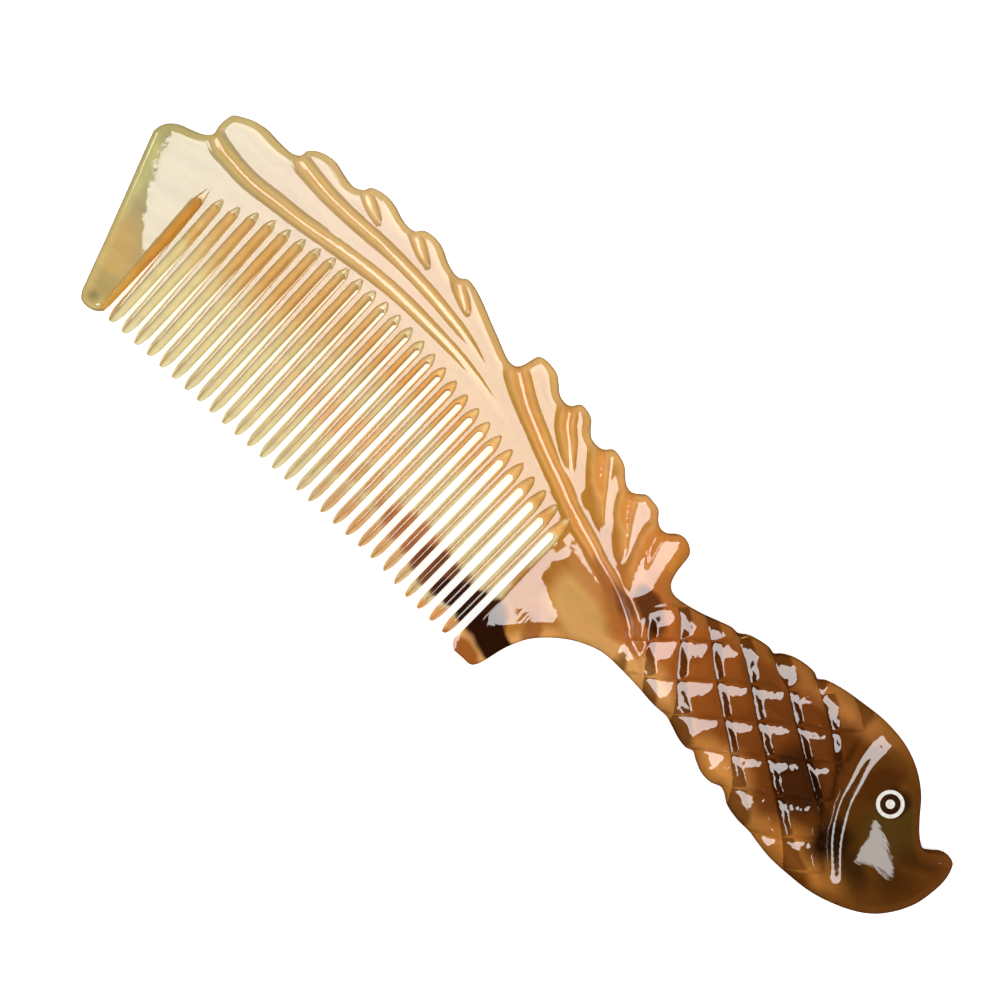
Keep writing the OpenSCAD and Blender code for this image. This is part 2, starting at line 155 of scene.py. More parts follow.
# flutes of the back [x, y, width towards the back edge, width towards the teeth, depth]
LONG_FLUTE = [
    (-87.8, 13.9, 0.5, 0.7, 0.3), (-86.2, 13.3, 1.2, 1.5, 0.8), (-83.5, 12.2, 1.7, 2, 1),
    (-81.5, 11.8, 1.75, 1.8, 1), (-75.9, 11.2, 1.8, 1.6, 1), (-69.9, 11.6, 1.75, 1.55, 1),
    (-65.5, 11.9, 1.65, 1.5, 0.95), (-60.3, 12.5, 1.6, 1.5, 0.95), (-55.5, 13.1, 1.6, 1.6, 0.9),
    (-48.9, 13.6, 1.6, 1.5, 0.85), (-42.2, 13.7, 1.5, 1.45, 0.8), (-34.5, 13.4, 1.25, 1.45, 0.65),
    (-27.9, 12.9, 0.9, 1.5, 0.5), (-21.2, 11.7, 0.6, 1.4, 0.32), (-15.6, 10.3, 0.4, 1.2, 0.15),
    (-11.3, 9.2, 0.3, 0.8, 0),
]
SECOND_FLUTE = [
    (-75.4, 21.2, 0.5, 0.5, 0.2), (-73.4, 20.3, 1.2, 1.2, 0.7), (-71.3, 19.6, 1.7, 1.7, 0.95),
    (-67.3, 18.9, 1.7, 1.6, 1), (-63.7, 18.5, 1.55, 1.5, 0.95), (-58.6, 18.4, 1.3, 1.5, 0.9),
    (-52, 18.5, 1.2, 1.6, 0.85), (-45.7, 18.2, 1.2, 1.5, 0.8), (-39, 17.6, 1.15, 1.45, 0.7),
    (-32.8, 16.7, 1.05, 1.4, 0.6), (-29.5, 16.1, 0.8, 1.3, 0.4), (-25.9, 15.1, 0.5, 1.1, 0.2),
    (-23, 14.2, 0.3, 0.8, 0),
]
SWEEP_FLUTE = [
    (-22.4, 19.6, 0.7, 1.8, 0.4), (-20.4, 18.6, 1.5, 2.7, 0.9), (-18.9, 17.5, 1.9, 2.9, 1.2),
    (-14.6, 14.5, 2.1, 2.2, 1.2), (-11.3, 12.8, 2.1, 1.9, 1.2), (-8, 11.2, 2, 1.8, 1.2),
    (-4.7, 9.7, 2, 1.7, 1.2), (-1.8, 8.5, 2.1, 1.7, 1.2), (3.1, 6.2, 2.1, 1.6, 1.2),
    (6.4, 5, 2.1, 1.6, 1.2), (9.7, 4, 1.8, 1.5, 1.2), (13, 2.7, 1.7, 1.4, 1.2),
    (16.3, 1.6, 1.8, 1.3, 1.25), (19.6, 0.2, 2, 1.2, 1.3), (22.9, -1.6, 2.3, 1.1, 1.3),
    (26.2, -3.7, 2.2, 1, 1.2), (29.2, -4.9, 1.7, 0.8, 0.8), (31.4, -6.2, 0.6, 0.5, 0),
]
NOTCH_FLUTES = [
    [
        (-61.2, 23.7, 0.5, 0.5, 0.1), (-59.9, 23, 1.2, 1, 0.6), (-58.6, 22.4, 1.4, 1.1, 0.75),
        (-56.9, 21.6, 1.3, 1.1, 0.7), (-55.1, 20.8, 0.9, 0.8, 0.4), (-54, 20.4, 0.3, 0.3, 0),
    ],
    [
        (-50.6, 24.4, 0.5, 0.5, 0.1), (-49.3, 23.7, 1.2, 1.2, 0.6), (-47.7, 22.9, 1.5, 1.3, 0.8),
        (-45.7, 21.8, 1.3, 1.2, 0.7), (-43.8, 20.9, 0.9, 0.8, 0.4), (-42.7, 20.4, 0.3, 0.3, 0),
    ],
    [
        (-39.8, 23.9, 0.5, 0.5, 0.1), (-38.5, 23.1, 1.2, 1.4, 0.6), (-36.9, 21.9, 1.4, 1.5, 0.8),
        (-35, 20.7, 1.3, 1.3, 0.7), (-33.1, 19.5, 0.9, 0.9, 0.4), (-32.2, 19, 0.3, 0.3, 0),
    ],
]
LOBE_FLUTES = [
    [
        (-10.9, 20.9, 0.6, 0.6, 0.2), (-9.6, 19.6, 1.3, 1.8, 0.9), (-8.3, 18.5, 1.6, 2.2, 1.2),
        (-7, 16.5, 1.7, 2.1, 1.2), (-4.7, 14.5, 1.5, 2, 1), (-2.8, 12.8, 1, 2, 0.6),
        (-0.9, 11.2, 0.4, 1.9, 0.2), (0.8, 9.8, 0.3, 0.8, 0),
    ],
    [
        (-1.9, 19.2, 0.6, 0.6, 0.2), (-0.8, 18, 1.3, 1.9, 0.9), (1.1, 16.2, 1.6, 2.3, 1.2),
        (3.1, 13.6, 1.6, 2.2, 1.1), (4.4, 12.4, 1.3, 2.1, 0.9), (6, 10.9, 0.7, 2, 0.5),
        (8.4, 8.4, 0.4, 1.6, 0.25), (10.2, 6.9, 0.3, 0.8, 0),
    ],
    [
        (7.4, 17.3, 0.6, 0.6, 0.2), (8.5, 15.9, 1.3, 2, 0.9), (9.55, 14.1, 1.6, 2.5, 1.2),
        (10.7, 12, 1.5, 2.4, 1.1), (11.8, 10.7, 1.2, 2.3, 0.9), (13, 9.5, 0.7, 2.1, 0.6),
        (14.6, 7.2, 0.6, 1.6, 0.4), (16, 5.2, 0.3, 0.8, 0),
    ],
    [
        (16.6, 15.9, 0.7, 1, 0.2), (16.9, 14.2, 1.5, 2.5, 0.9), (17.2, 11.8, 1.7, 2.9, 1.1),
        (17.6, 9.6, 2, 2.7, 1), (18, 7.4, 2.8, 2.3, 0.8), (18.6, 5.2, 3.4, 2, 0.6),
        (19.4, 3.4, 3.4, 1.6, 0.3), (20.4, 1.6, 2, 0.8, 0),
    ],
]
FLUTES = [LONG_FLUTE, SECOND_FLUTE, SWEEP_FLUTE] + NOTCH_FLUTES + LOBE_FLUTES

# grooves between the scales [x, y]: those that fall towards the head, and those that rise
FALLING = [
    [
        (21.5, 10.5), (25, 8.2), (28, 6.1), (30.2, 4.5), (36.6, -3.7), (39.5, -7.3), (41.5, -11.5),
    ],
    [
        (29.5, 10.8), (33.6, 7.8), (36.4, 5.4), (41.7, 0.9), (51.9, -6.8), (56, -10.6), (58.6, -14.5),
    ],
    [
        (36, 12), (41.2, 8.2), (46.5, 4.4), (51.5, 0.4), (57, -3.3), (62.5, -7.2), (67.3, -10.8),
        (71.5, -14.5),
    ],
    [
        (43.6, 12.6), (48.9, 9.2), (51.9, 8), (57, 4.4), (62.3, 0.9), (70.8, -4.4), (75, -7.2),
    ],
    [
        (52, 14.8), (57, 11.1), (62.2, 7.7), (66, 4.4), (73, -0.5),
    ],
]
RISING = [
    [
        (24, -5.6), (28, -2.2), (32.3, 2), (36.4, 5.4), (39.2, 8), (42, 11.5),
    ],
    [
        (28.5, -9.5), (31.9, -6.8), (34.7, -5.1), (41.7, 0.9), (46.5, 4.4), (51.9, 8), (56.3, 11.1),
        (60.5, 15),
    ],
    [
        (36, -12.5), (39.2, -9.3), (41.7, -7.2), (51.5, 0.4), (57, 4.4), (62.2, 7.7), (65.3, 10.1),
        (70, 14.4),
    ],
    [
        (44, -14), (46.9, -10.9), (49.8, -8.4), (57, -3), (62.3, 0.9), (66, 3.6), (71.5, 8.6),
    ],
    [
        (51.5, -15.5), (54.8, -12.3), (56.3, -10.8), (62.5, -7.2), (68, -3.3), (73, 0.8),
    ],
    [
        (61, -17.5), (64.2, -14.5), (67, -12.4), (72.5, -8.2), (77, -4.4),
    ],
]
# size of a scale across the falling and across the rising lines, and its height over them
SCALE_WIDE = 5.56
SCALE_LONG = 6.25
SCALE_HEIGHT = 0.95
# how round the foot of a wall is, and how steep walls are near the edge of the comb and away from it
WALL_ROUND = 0.6
CREST_ROUND = 0.44
SHALLOW_RIM = (2.8, 6.0)
SHALLOW_STEEP = (0.4, 0.86)

# the tilted band below the sweeping flute: where its tilt starts and ends, its bow and its slope
SHOULDER_START = 6.7
SHOULDER_END = 15.4
SHOULDER_BOW = 0.00214
SHOULDER_SLOPE = 0.02875
# droop of the first guard for each millimetre left of DROOP_X, by how far down it is [-y, droop]
DROOP_X = -79.6
DROOP = [(-8.2, 0.0055), (0.8, 0.012), (6, 0.021), (12, 0.0385), (20, 0.065)]
# edges steeper than this are left sharp, on the blade
SHARP = math.radians(42)
BLADE_END = 22 * MM

# edge of the gill cover [x, y, width of its slope, depth]
GILL = [
    (69, 20.5, 4.8, 1), (68.4, 15.6, 4.8, 1.15), (68.1, 13.6, 4.6, 1.2), (68.1, 11.3, 4, 1.15),
    (68.8, 7.5, 2.9, 1.1), (70, 3.7, 2.4, 1.1), (71.3, -0.1, 1.9, 1.2), (73.1, -3.7, 1.8, 1.3),
    (75, -6.6, 1.8, 1.3), (77.2, -9, 1.7, 1.2), (79.5, -11, 1.3, 0.8), (81.5, -12.6, 0.6, 0.2),
]


def smooth(rows, step=0.4):
    """Curve through the given rows, with a point about every step; further columns ride along."""
    rows = np.array(rows, float)
    rows = np.vstack([2 * rows[0] - rows[1], rows, 2 * rows[-1] - rows[-2]])
    points = []
    for before, start, end, after in zip(rows, rows[1:], rows[2:], rows[3:]):
        gap = math.dist(start[:2], end[:2])
        into = (end - before) * gap / (math.dist(before[:2], start[:2]) + gap)
        out_of = (after - start) * gap / (math.dist(after[:2], end[:2]) + gap)
        count = max(1, round(gap / step))
        for t in np.arange(count) / count:
            bend = (2 * t**3 - 3 * t**2) * (start - end)
            points.append(start + bend + (t**3 - 2 * t**2 + t) * into + (t**3 - t**2) * out_of)
    return np.array(points + [rows[-2]])


def run_lengths(curve):
    return np.concatenate([[0], np.cumsum(np.hypot(*np.diff(curve[:, :2], axis=0).T))])


def place_on(curve, lengths):
    """Points of a curve at given lengths along it."""
    run = run_lengths(curve)
    return np.stack([np.interp(lengths, run, curve[:, k]) for k in range(2)], axis=1)


def length_near(curve, point):
    """Length along a curve at its point nearest to a given one."""
    return run_lengths(curve)[np.argmin(np.hypot(curve[:, 0] - point[0], curve[:, 1] - point[1]))]


def beside(curve, points, reach=1e9):
    """For many points: the distance from a curve, positive on its left, and the curve's row beside each."""
    gap = np.full(len(points), 1e9)
    side = np.ones(len(points))
    row = np.zeros(len(points))
    low = curve[:, :2].min(axis=0) - reach
    high = curve[:, :2].max(axis=0) + reach
    near = np.flatnonzero(np.all((points > low) & (points < high), axis=1))
    for k, (a, b) in enumerate(zip(curve[:-1, :2], curve[1:, :2])):
        along = b - a
        away = points[near] - a
        share = np.clip(away @ along / (along @ along), 0, 1)
        off = np.hypot(away[:, 0] - share * along[0], away[:, 1] - share * along[1])
        nearer = off < gap[near]
        chosen = near[nearer]
        gap[chosen] = off[nearer]
        row[chosen] = k + share[nearer]
        side[chosen] = np.sign(along[0] * away[:, 1] - along[1] * away[:, 0])[nearer]
    return gap * side, row


def soft_step(x, low=0.0, high=1.0):
    t = np.clip((x - low) / (high - low), 0, 1)
    return t * t * (3 - 2 * t)


def crowded(x):
    """Share of a run at which row x of it lies, with the rows closer together at both ends."""
    return x - CROWD * np.sin(2 * np.pi * x) / (2 * np.pi)


BACK_CURVE = smooth(BACK)
BELLY_CURVE = smooth(BELLY)
FIRST_GUARD_CURVE = smooth([GUARD_CORNER, GUARD_SIDE, (-88.9, -12.4)] + FIRST_GUARD)
# the rounded edge, from the inner corner of the first guard round to that of the last one
RIM = np.vstack([FIRST_GUARD_CURVE[::-1], BACK_CURVE[1:], BELLY_CURVE[::-1][1:]])

# slots: top of the bevelled cut, direction down the comb, length of the ramp and of the whole slot
SLOT_X = FIRST_SLOT_X + PITCH * np.arange(SLOTS)
SLOT_X = SLOT_X + np.interp(SLOT_X, (-80, -60, -35, -28, -2, 3.9), (0.12, 0.12, 0, -0.2, -0.2, 0))
SLOT_TOP = np.stack([SLOT_X, np.interp(SLOT_X, *np.transpose(ARCH))], axis=1)
SLOT_LEAN = LEAN * (np.arange(SLOTS) / (SLOTS - 1) + 0.24 * soft_step(np.arange(SLOTS), 12, 18))
SLOT_DOWN = np.stack([-np.sin(SLOT_LEAN), -np.cos(SLOT_LEAN)], axis=1)
SLOT_SIDE = np.stack([np.cos(SLOT_LEAN), -np.sin(SLOT_LEAN)], axis=1)
SLOT_RAMP = np.interp(SLOT_X, *np.transpose(RAMP))
# half width of the slot, and half width of its bevelled cut at the face
SLOT_HALF = np.interp(SLOT_X, (-80, -30, 4), (0.56, 0.64, 0.72))
BEVEL_HALF = np.interp(SLOT_X, (-80, -40, 4), (0.96, 1.1, 1.32))
# how soon a cut opens to its full width, how deep its floor lies, and how soon it gets there
OPENING = np.interp(SLOT_X, (-80, -45, -10, 4), (0.62, 0.5, 0.4, 0.33))
FLOOR_DEPTH = np.interp(SLOT_X, (-80, -50, -25, 4), (0.4, 0.6, 1.4, 3.0))
FLOOR_POWER = np.interp(SLOT_X, (-80, -50, -25, 4), (1, 1, 0.5, 0.4))
SLOT_LENGTH = SLOT_TOP[:, 1] - np.interp(SLOT_X, *np.transpose(TIPS))


def columns():
    """Distance of each column from the middle of its slot at the knees, which slot that is, and
    what it runs along."""
    offs, owner, kind = [], [], []

    def add(values, slot, kinds):
        offs.extend(values)
        owner.extend([slot] * len(values))
        kind.extend(kinds)

    flank = (SLOT_HALF + BEVEL_HALF) / 2
    guard = np.linspace(-12.1, -BEVEL_HALF[0], GUARD_COLUMNS - 1).tolist() + [-flank[0]]
    add(guard, 0, [GUARD] * (GUARD_COLUMNS - 2) + [EDGE, FLANK])
    for k in range(SLOTS):
        add([SLOT_HALF[k] * part for part in (-1, -0.5, 0, 0.5, 1)], k, [SLOT] * 5)
        if k < SLOTS - 1:
            add([flank[k], BEVEL_HALF[k], PITCH / 2], k, [FLANK, EDGE, RIDGE])
            add([-BEVEL_HALF[k + 1], -flank[k + 1]], k + 1, [EDGE, FLANK])
    return np.array(offs), np.array(owner), np.array(kind)


def sheet_above(knee, head, even, lift, offs, k, c, rows_up):
    """Places and cut of one column of slot k between the back edge and the knee. Even is the
    column's height, and how far its knee lies too high, once its neighbours are evened out with
    it; lift is how far the knee lies above that of the slot's corners."""
    down, side, ramp, wide = SLOT_DOWN[k], SLOT_SIDE[k], SLOT_RAMP[k], BEVEL_HALF[k]
    reach = head - knee
    height = -reach @ down
    over = reach @ side
    left = 1 - rows_up
    calm, off_knee = even
    h = calm * left - off_knee * (1 - rows_up**8) + (height - calm + off_knee) * left**6
    bent = np.clip((h - STRAIGHT) / (height - STRAIGHT), 0, 1)
    bent = bent * bent * (2 - bent)
    mix = soft_step(c, 0, GUARD_COLUMNS)
    across = over * (mix * bent + (1 - mix) * h / height)
    half = PITCH / 2
    edge = abs(offs)
    from_slot = h + lift
    d = np.clip((ramp - from_slot) / ramp, 0, 1)
    open_share = d ** OPENING[k]
    above = POINT_SHARE + (1 - POINT_SHARE) * soft_step(from_slot - ramp, 0, 3.0)
    share = np.where(from_slot > ramp, above, np.maximum(POINT_SHARE, open_share))
    inner = wide * share
    if edge <= wide + 1e-6:
        new = edge * share
    elif edge <= half + 1e-6:
        new = inner + (edge - wide) * (half - inner) / (half - wide)
    else:
        new = np.full(len(h), edge)
    across = across + np.sign(offs) * (new - edge)
    gap = np.maximum(0, open_share * wide - new)
    steep = POINT_SLOPE + (BEVEL_DROP / (wide - SLOT_HALF[k]) - POINT_SLOPE) * d**4
    deepest = FLOOR_DEPTH[k]
    if edge > SLOT_HALF[k] - 1e-6:
        deepest = np.maximum(deepest, BEVEL_DROP * d**8)
    cut = np.minimum(steep * gap, deepest * d ** FLOOR_POWER[k])
    return knee - h[:, None] * down + across[:, None] * side, cut


def evened(values):
    """Mean of each value and its neighbours."""
    padded = np.pad(values, EVENED_COLUMNS // 2, mode="edge")
    return np.convolve(padded, np.ones(EVENED_COLUMNS) / EVENED_COLUMNS, mode="valid")


def beside_slot(points, k):
    """Depth of the bevel at points beside slot k, below its ramp."""
    away = points - SLOT_TOP[k]
    off = np.abs(away @ SLOT_SIDE[k])
    along = away @ SLOT_DOWN[k]
    wide = BEVEL_HALF[k] + (BEVEL_HALF_TIP - BEVEL_HALF[k]) * np.clip(along / SLOT_LENGTH[k], 0, 1)
    part = np.clip((wide - off) / (wide - SLOT_HALF[k]), 0, 1)
    return BEVEL_DROP * part * soft_step(along, SLOT_RAMP[k] - 0.6, SLOT_RAMP[k])


def flat_sheet():
    """Places of the sheet's corners seen from above, by column and row, the depth of the bevelled
    cuts there, and how far each lies from the tip of its tooth."""
    offs, owner, kind = columns()
    first = GUARD_COLUMNS
    blade = len(offs)
    total = blade + FAN_COLUMNS + SCALE_COLUMNS + HEAD_COLUMNS
    rows = BACK_ROWS + TOOTH_ROWS
    places = np.zeros((total, rows + 1, 2))
    cut = np.zeros((total, rows + 1))
    from_tip = np.full((total, rows + 1), 99.0)
    up = crowded(np.arange(BACK_ROWS + 1) / BACK_ROWS)
    down_share = crowded(np.arange(TOOTH_ROWS + 1) / TOOTH_ROWS)
    half = PITCH / 2

    top, down, side = SLOT_TOP[owner], SLOT_DOWN[owner], SLOT_SIDE[owner]
    ramp, length = SLOT_RAMP[owner], SLOT_LENGTH[owner]
    # the knee of a column is where it passes the inner end of its slot, which is round
    lift = SLOT_END * np.maximum(0, 1 - (offs / SLOT_HALF[owner]) ** 2)
    knee = top + down * (ramp - lift)[:, None] + side * offs[:, None]
    knee[: first - 1] = np.linspace(GUARD_SIDE, knee[first - 2], first - 1)
    back_x, knee_x = np.transpose(BLADE_LINES)
    back_run = [length_near(BACK_CURVE, (x, np.interp(x, *np.transpose(BACK)))) for x in back_x]
    head = place_on(BACK_CURVE, np.interp(knee[:, 0], knee_x, back_run))

    guard_end = run_lengths(FIRST_GUARD_CURVE)[-1]
    slant_start = length_near(FIRST_GUARD_CURVE, knee[0])
    slant_end = length_near(FIRST_GUARD_CURVE, FIRST_GUARD[0])
    edge_run = np.linspace(slant_start, slant_end, TOOTH_ROWS + 1)
    foot_run = np.linspace(slant_end, guard_end - 0.9, first - 1)
    foot_run = np.append(foot_run, [guard_end - 0.4, guard_end])
    guard_foot = place_on(FIRST_GUARD_CURVE, foot_run)
    slanted = place_on(FIRST_GUARD_CURVE, edge_run)
    straight = slanted[0] + (slanted[-1] - slanted[0]) * np.linspace(0, 1, TOOTH_ROWS + 1)[:, None]
    bow = slanted - straight

    tall = np.sum((knee - head) * down, axis=1)
    calm = evened(tall)
    off_knee = knee[:, 1] - evened(knee[:, 1])
    for c in range(blade):
        places[c, : BACK_ROWS + 1], cut[c, : BACK_ROWS + 1] = sheet_above(
            knee[c], head[c], (calm[c], off_knee[c]), lift[c], offs[c], owner[c], c, up
        )
        t = down_share
        if c <= first:
            rest = knee[c] + (guard_foot[c] - knee[c]) * t[:, None] + bow * (1 - c / first)
            places[c, BACK_ROWS:] = rest
            cut[c, BACK_ROWS + 1 :] = beside_slot(rest, 0)[1:]
            continue
        run = ramp[c] - lift[c] + (length[c] - ramp[c] + lift[c]) * t
        left = length[c] - run
        slot, root = SLOT_HALF[owner[c]], BEVEL_HALF[owner[c]]
        wide = root + (BEVEL_HALF_TIP - root) * t
        even = np.ones(len(t))
        levels = {SLOT: abs(offs[c]) * even, FLANK: (slot + wide) / 2, EDGE: wide, RIDGE: half * even}
        base = levels[kind[c]]
        cut[c, BACK_ROWS + 1 :] = BEVEL_DROP * np.clip((wide - base) / (wide - slot), 0, 1)[1:]
        slim = np.sqrt(1 - 0.85 * np.clip(1 - left / 2.6, 0, 1) ** 2)
        off = np.sign(offs[c]) * (half - (half - base) * slim)
        places[c, BACK_ROWS:] = top[c] + run[:, None] * down[c] + off[:, None] * side[c]
        from_tip[c, BACK_ROWS:] = left

    # from the last slot to the beak
    back_key = [length_near(BACK_CURVE, a) for a, b in HANDLE_LINES]
    belly_key = [length_near(BELLY_CURVE, b) for a, b in HANDLE_LINES]
    start = length_near(BACK_CURVE, head[-1])
    turn = length_near(BACK_CURVE, (24.1, 12.2))
    nape = length_near(BACK_CURVE, (73.0, 15.0))
    runs = np.concatenate([
        start + (turn - start) * np.arange(1, FAN_COLUMNS + 1) / FAN_COLUMNS,
        turn + (nape - turn) * np.arange(1, SCALE_COLUMNS + 1) / SCALE_COLUMNS,
        nape + (back_key[-1] - nape) * np.arange(1, HEAD_COLUMNS + 1) / HEAD_COLUMNS,
    ])
    heads = place_on(BACK_CURVE, runs)
    feet = place_on(BELLY_CURVE, np.interp(runs, back_key, belly_key))
    share = crowded(np.arange(rows + 1) / rows)
    flat = BEVEL_HALF[-1] - SLOT_HALF[-1]
    turned = heads[FAN_COLUMNS - 1] + (feet[FAN_COLUMNS - 1] - heads[FAN_COLUMNS - 1]) * share[BACK_ROWS]
    for j in range(len(runs)):
        c = blade + j
        straight = heads[j] + (feet[j] - heads[j]) * share[:, None]
        places[c] = straight
        if j < FAN_COLUMNS:
            off = [flat / 2, flat][j] if j < 2 else flat + 0.27 * (j - 1)
            part = (j + 1) / FAN_COLUMNS
            last = np.array([flat + 0.27 * (FAN_COLUMNS - 2), 0])
            bend = knee[-1] + np.array([off, 0]) + (turned - knee[-1] - last) * part
            rise = (bend - heads[j]) @ SLOT_DOWN[-1]
            above, dip = sheet_above(bend, heads[j], (rise, 0), 0, SLOT_HALF[-1] + off, -1, 99, up)
            below = bend + (feet[j] - bend) * down_share[:, None]
            w = soft_step(j, 4, FAN_COLUMNS)
            places[c] = w * straight + (1 - w) * np.vstack([above, below[1:]])
            cut[c, : BACK_ROWS + 1] = dip
            cut[c, BACK_ROWS + 1 :] = beside_slot(places[c, BACK_ROWS + 1 :], SLOTS - 1)
    gap_columns = {c for c in range(blade) if abs(offs[c]) < SLOT_HALF[owner[c]] - 1e-6}
    return places, cut, from_tip, gap_columns


def flutes(points):
    """Depth of the flutes of the back at the given points."""
    deep = np.zeros(len(points))
    for n, rows in enumerate(FLUTES):
        curve = smooth(rows)
        off, row = beside(curve, points, 7.0)
        wide_up, wide_down, depth = [np.interp(row, np.arange(len(curve)), curve[:, k]) for k in (2, 3, 4)]
        wide = np.where(off > 0, wide_up, wide_down)
        q = np.abs(off) / np.maximum(wide + 0.15, 0.05)
        one = np.where(q < 1, depth * (1 - soft_step(q, 0.02, 1.0)), 0)
        if n > len(FLUTES) - 4:
            # the last lobes rise slowly away from their flute
            ends = soft_step(row, 0, 6) * soft_step(len(curve) - 1 - row, 0, 8)
            one = one + np.where((off > 0) & (off < 5), 0.3 * (1 - off / 5) * ends, 0)
        deep = np.maximum(deep, one) + 0.25 * np.minimum(deep, one)
    return deep


def lattice(points):
    """Place of points in the two sets of lines between the scales, in scales."""
    sets = []
    for lines in (FALLING, RISING):
        gaps = np.array([beside(smooth(line), points)[0] for line in lines])
        # a falling line has the head side on its left, a rising one on its right
        gaps = gaps if lines is FALLING else -gaps
        value = np.where(gaps[0] < 0, gaps[0] / 5.6, 0)
        for n in range(len(lines) - 1):
            between = (gaps[n] >= 0) & (gaps[n + 1] < 0)
            value = np.where(between, n + gaps[n] / np.maximum(gaps[n] - gaps[n + 1], 1e-6), value)
        value = np.where(gaps[-1] >= 0, len(lines) - 1 + gaps[-1] / 6.0, value)
        sets.append(value)
    return sets


def scale_relief(fall, rise, steep, whole, root, least):
    """Height over the grooves of scales at a place in the two sets of lines, and how far the back
    of the scale would stand over its lower wall there. Two walls are at the left of each scale, the
    upper one gentler than the lower one, and its back falls away to the right. It works on arrays
    and on shader values alike, with the three operations that it is given."""
    f = fall - whole(fall)
    r = rise - whole(rise)
    lower = (root(f * f * SCALE_WIDE**2 + WALL_ROUND**2) - WALL_ROUND) * steep
    along = whole(fall) + whole(rise)
    gentle = steep * (along * 0.036 + 0.13) + 0.26
    upper = (root(r * r * SCALE_LONG**2 + WALL_ROUND**2) - WALL_ROUND) * gentle
    wall = least(lower, upper)
    rest = least(least(SCALE_HEIGHT - f * 0.3, 3.4 - f * 3.4), 6.0 - r * 6.0)
    return least(wall, rest), rest - lower


def soft_least(a, b):
    """The smaller of two heights, with a round passage between them."""
    h = np.maximum(CREST_ROUND - np.abs(a - b), 0) / CREST_ROUND
    return np.minimum(a, b) - h**3 * CREST_ROUND / 6


def scales(points, rim):
    """Place in the lines between the scales, how much of the carving there is, and its depth."""
    fall, rise = lattice(points)
    steep = np.interp(rim, SHALLOW_RIM, SHALLOW_STEEP)
    high = scale_relief(fall, rise, steep, np.floor, np.sqrt, soft_least)[0]
    held = soft_step(points[:, 0], 24.5, 27.5) * soft_step(rise, -1.2, -0.95)
    held = held * soft_step(-beside(smooth(GILL), points)[0], 0.6, 2.2)
    return fall, rise, held, (SCALE_HEIGHT - np.maximum(high, 0)) * held


def gill(points):
    curve = smooth(GILL)
    off, row = beside(curve, points, 8.0)
    wide, depth = [np.interp(row, np.arange(len(curve)), curve[:, k]) for k in (2, 3)]
    # the side of the scales rises slowly, the cover of the gill stands up steeply
    q = np.where(off < 0, -off / (wide + 1.4), off / wide)
    ends = soft_step(row, 0, 12) * soft_step(len(curve) - 1 - row, 0, 10)
    return np.where(q < 1, depth * (1 - soft_step(q, 0.1, 1.0)) * ends, 0)


def shoulder(points):
    """Depth of the slightly tilted band on the last guard, below the sweeping flute."""
    x = points[:, 0]
    off = beside(smooth(SWEEP_FLUTE), points, 7.0)[0]
    low = np.interp(x, (6.6, 10.4, 13, 15.4), (3.6, 2.9, 2.3, 1.8))
    at = np.maximum(x, SHOULDER_START)
    deep = SHOULDER_BOW * (SHOULDER_END**2 - at**2) - SHOULDER_SLOPE * (SHOULDER_END - at)
    fade = np.interp(x, (5, 6.7, 8, 12), (3.6, 3.0, 1.3, 1.0))
    return np.maximum(deep, 0) * (1 - soft_step(-off, low, low + fade)) * soft_step(x, 2.5, 5.5)


def is_flat_below(f, mark, rows, first, last):
    """Whether a face of the grid is part of the flat lower face, within some columns."""
    if len(f.verts) != 4 or any(v.co.z > 1e-6 for v in f.verts):
        return False
    return first <= min(v[mark] for v in f.verts) // (rows + 1) < last


